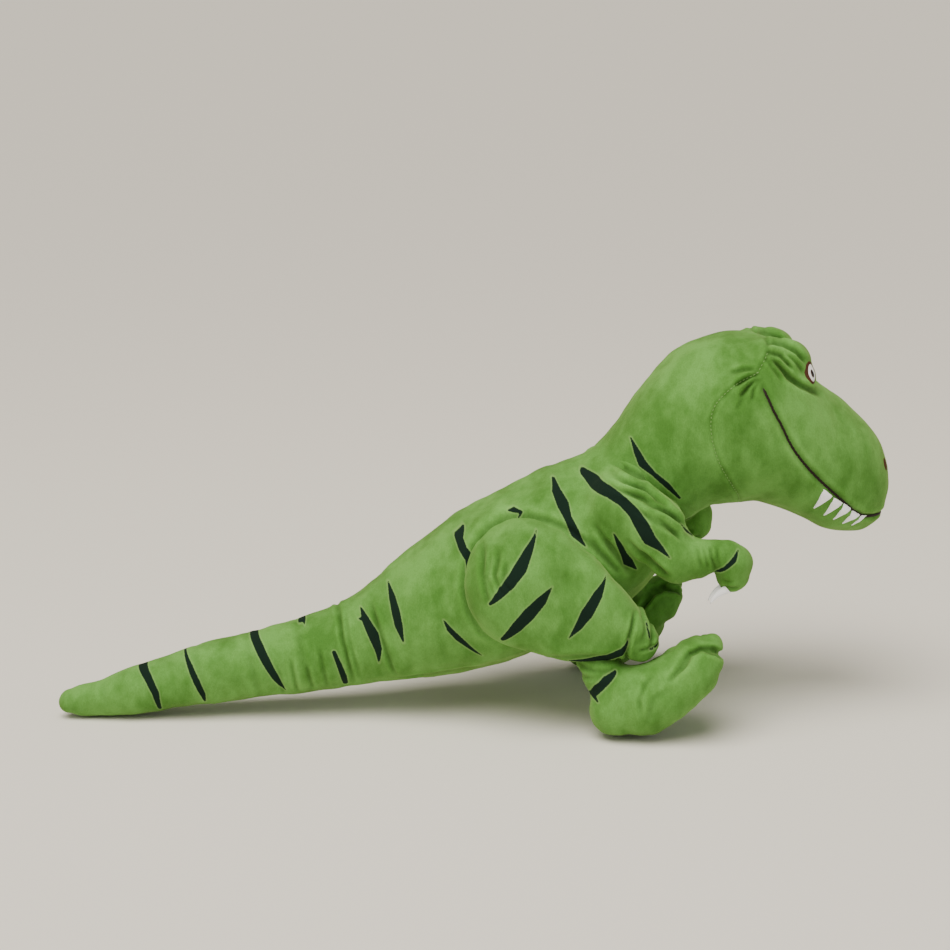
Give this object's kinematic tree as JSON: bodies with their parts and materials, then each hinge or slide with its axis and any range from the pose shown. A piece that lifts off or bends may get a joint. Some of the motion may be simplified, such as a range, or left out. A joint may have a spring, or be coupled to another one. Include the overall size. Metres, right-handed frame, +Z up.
{
  "type": "stuffed dinosaur",
  "caption": "Plush tyrannosaur lying on its belly, head raised, with stuffed body, tapering tail, short arms, felt teeth and claws.",
  "frame": {"origin": "under the middle of the toy's box, on the surface it lies on", "axes": "+X from the tail to the nose, +Y to the toy's own left side, +Z up"},
  "size_m": [0.9076, 0.2986, 0.4245],
  "materials": {
    "green_plush": "short-pile green velour plush with dark green stripes",
    "belly_plush": "slightly lighter green short-pile plush",
    "polyester_filling": "white hollow-fibre polyester wadding",
    "white_felt": "white polyester felt, cut and sewn",
    "brown_thread": "dark brown satin-stitch embroidery thread",
    "eye_fabric": "white embroidered eye with a dark pupil and brown rim"
  },
  "bodies": {
    "torso": {"side_panel_right": "green_plush", "side_panel_left": "green_plush", "belly_panel": "belly_plush", "torso_filling": "polyester_filling"},
    "tail_base": {"tail_base_skin": "green_plush", "tail_base_filling": "polyester_filling"},
    "tail_mid": {"tail_mid_skin": "green_plush", "tail_mid_filling": "polyester_filling"},
    "tail_tip": {"tail_tip_skin": "green_plush", "tail_tip_filling": "polyester_filling"},
    "neck": {"neck_skin": "green_plush", "neck_filling": "polyester_filling"},
    "head": {"head_panel_right": "green_plush", "head_panel_left": "green_plush", "muzzle_panel": "green_plush", "jaw_panel": "green_plush", "head_filling": "polyester_filling", "brow_right": "green_plush", "eye_right": "eye_fabric", "mouth_line_right": "brown_thread", "brow_left": "green_plush", "eye_left": "eye_fabric", "mouth_line_left": "brown_thread", "tooth_1_right": "white_felt", "tooth_1_left": "white_felt", "tooth_2_right": "white_felt", "tooth_2_left": "white_felt", "tooth_3_right": "white_felt", "tooth_3_left": "white_felt", "tooth_4_right": "white_felt", "tooth_4_left": "white_felt", "tooth_5_right": "white_felt", "tooth_5_left": "white_felt"},
    "arm_right": {"arm_skin_right": "green_plush", "arm_filling_right": "polyester_filling"},
    "hand_right": {"hand_skin_right": "green_plush", "hand_filling_right": "polyester_filling", "claw_inner_right": "white_felt", "claw_outer_right": "white_felt"},
    "leg_right": {"thigh_skin_right": "green_plush", "thigh_filling_right": "polyester_filling", "shank_skin_right": "green_plush", "shank_filling_right": "polyester_filling"},
    "foot_right": {"foot_skin_right": "green_plush", "foot_sole_right": "belly_plush", "foot_filling_right": "polyester_filling"},
    "arm_left": {"arm_skin_left": "green_plush", "arm_filling_left": "polyester_filling"},
    "hand_left": {"hand_skin_left": "green_plush", "hand_filling_left": "polyester_filling", "claw_inner_left": "white_felt", "claw_outer_left": "white_felt"},
    "leg_left": {"thigh_skin_left": "green_plush", "thigh_filling_left": "polyester_filling", "shank_skin_left": "green_plush", "shank_filling_left": "polyester_filling"},
    "foot_left": {"foot_skin_left": "green_plush", "foot_sole_left": "belly_plush", "foot_filling_left": "polyester_filling"}
  },
  "joints": [
    {"name": "neck_turn", "type": "hinge", "parent": "torso", "child": "neck", "pos_m": [0.186, 0, 0.258], "axis": [0, 0, 1], "range_deg": [-15, 15], "stiffness_Nm_per_rad": 8},
    {"name": "head_nod", "type": "hinge", "parent": "neck", "child": "head", "pos_m": [0.186, 0, 0.258], "axis": [0, 1, 0], "range_deg": [-12, 12], "stiffness_Nm_per_rad": 14},
    {"name": "tail_base_sway", "type": "hinge", "parent": "torso", "child": "tail_base", "pos_m": [-0.129, 0, 0.077], "axis": [0, 0, 1], "range_deg": [-15, 15], "stiffness_Nm_per_rad": 4},
    {"name": "tail_mid_sway", "type": "hinge", "parent": "tail_base", "child": "tail_mid", "pos_m": [-0.25, 0, 0.0525], "axis": [0, 0, 1], "range_deg": [-15, 15], "stiffness_Nm_per_rad": 2},
    {"name": "tail_tip_sway", "type": "hinge", "parent": "tail_mid", "child": "tail_tip", "pos_m": [-0.375, 0, 0.0275], "axis": [0, 0, 1], "range_deg": [-15, 15], "stiffness_Nm_per_rad": 1},
    {"name": "shoulder_right", "type": "hinge", "parent": "torso", "child": "arm_right", "pos_m": [0.165, -0.107, 0.235], "axis": [0, -1, 0], "range_deg": [-12, 20], "stiffness_Nm_per_rad": 3},
    {"name": "wrist_right", "type": "hinge", "parent": "arm_right", "child": "hand_right", "pos_m": [0.25, -0.11, 0.19], "axis": [0, -1, 0], "range_deg": [-20, 20], "stiffness_Nm_per_rad": 1},
    {"name": "hip_right", "type": "hinge", "parent": "torso", "child": "leg_right", "pos_m": [0.059, -0.11, 0.161], "axis": [0, -1, 0], "range_deg": [-10, 10], "stiffness_Nm_per_rad": 20},
    {"name": "ankle_right", "type": "hinge", "parent": "leg_right", "child": "foot_right", "pos_m": [0.143, -0.1215, 0.048], "axis": [0, -1, 0], "range_deg": [-12, 12], "stiffness_Nm_per_rad": 8},
    {"name": "shoulder_left", "type": "hinge", "parent": "torso", "child": "arm_left", "pos_m": [0.165, 0.107, 0.235], "axis": [0, -1, 0], "range_deg": [-12, 20], "stiffness_Nm_per_rad": 3},
    {"name": "wrist_left", "type": "hinge", "parent": "arm_left", "child": "hand_left", "pos_m": [0.25, 0.11, 0.19], "axis": [0, -1, 0], "range_deg": [-20, 20], "stiffness_Nm_per_rad": 1},
    {"name": "hip_left", "type": "hinge", "parent": "torso", "child": "leg_left", "pos_m": [0.059, 0.11, 0.161], "axis": [0, -1, 0], "range_deg": [-10, 10], "stiffness_Nm_per_rad": 20},
    {"name": "ankle_left", "type": "hinge", "parent": "leg_left", "child": "foot_left", "pos_m": [0.143, 0.1215, 0.048], "axis": [0, -1, 0], "range_deg": [-12, 12], "stiffness_Nm_per_rad": 8}
  ]
}
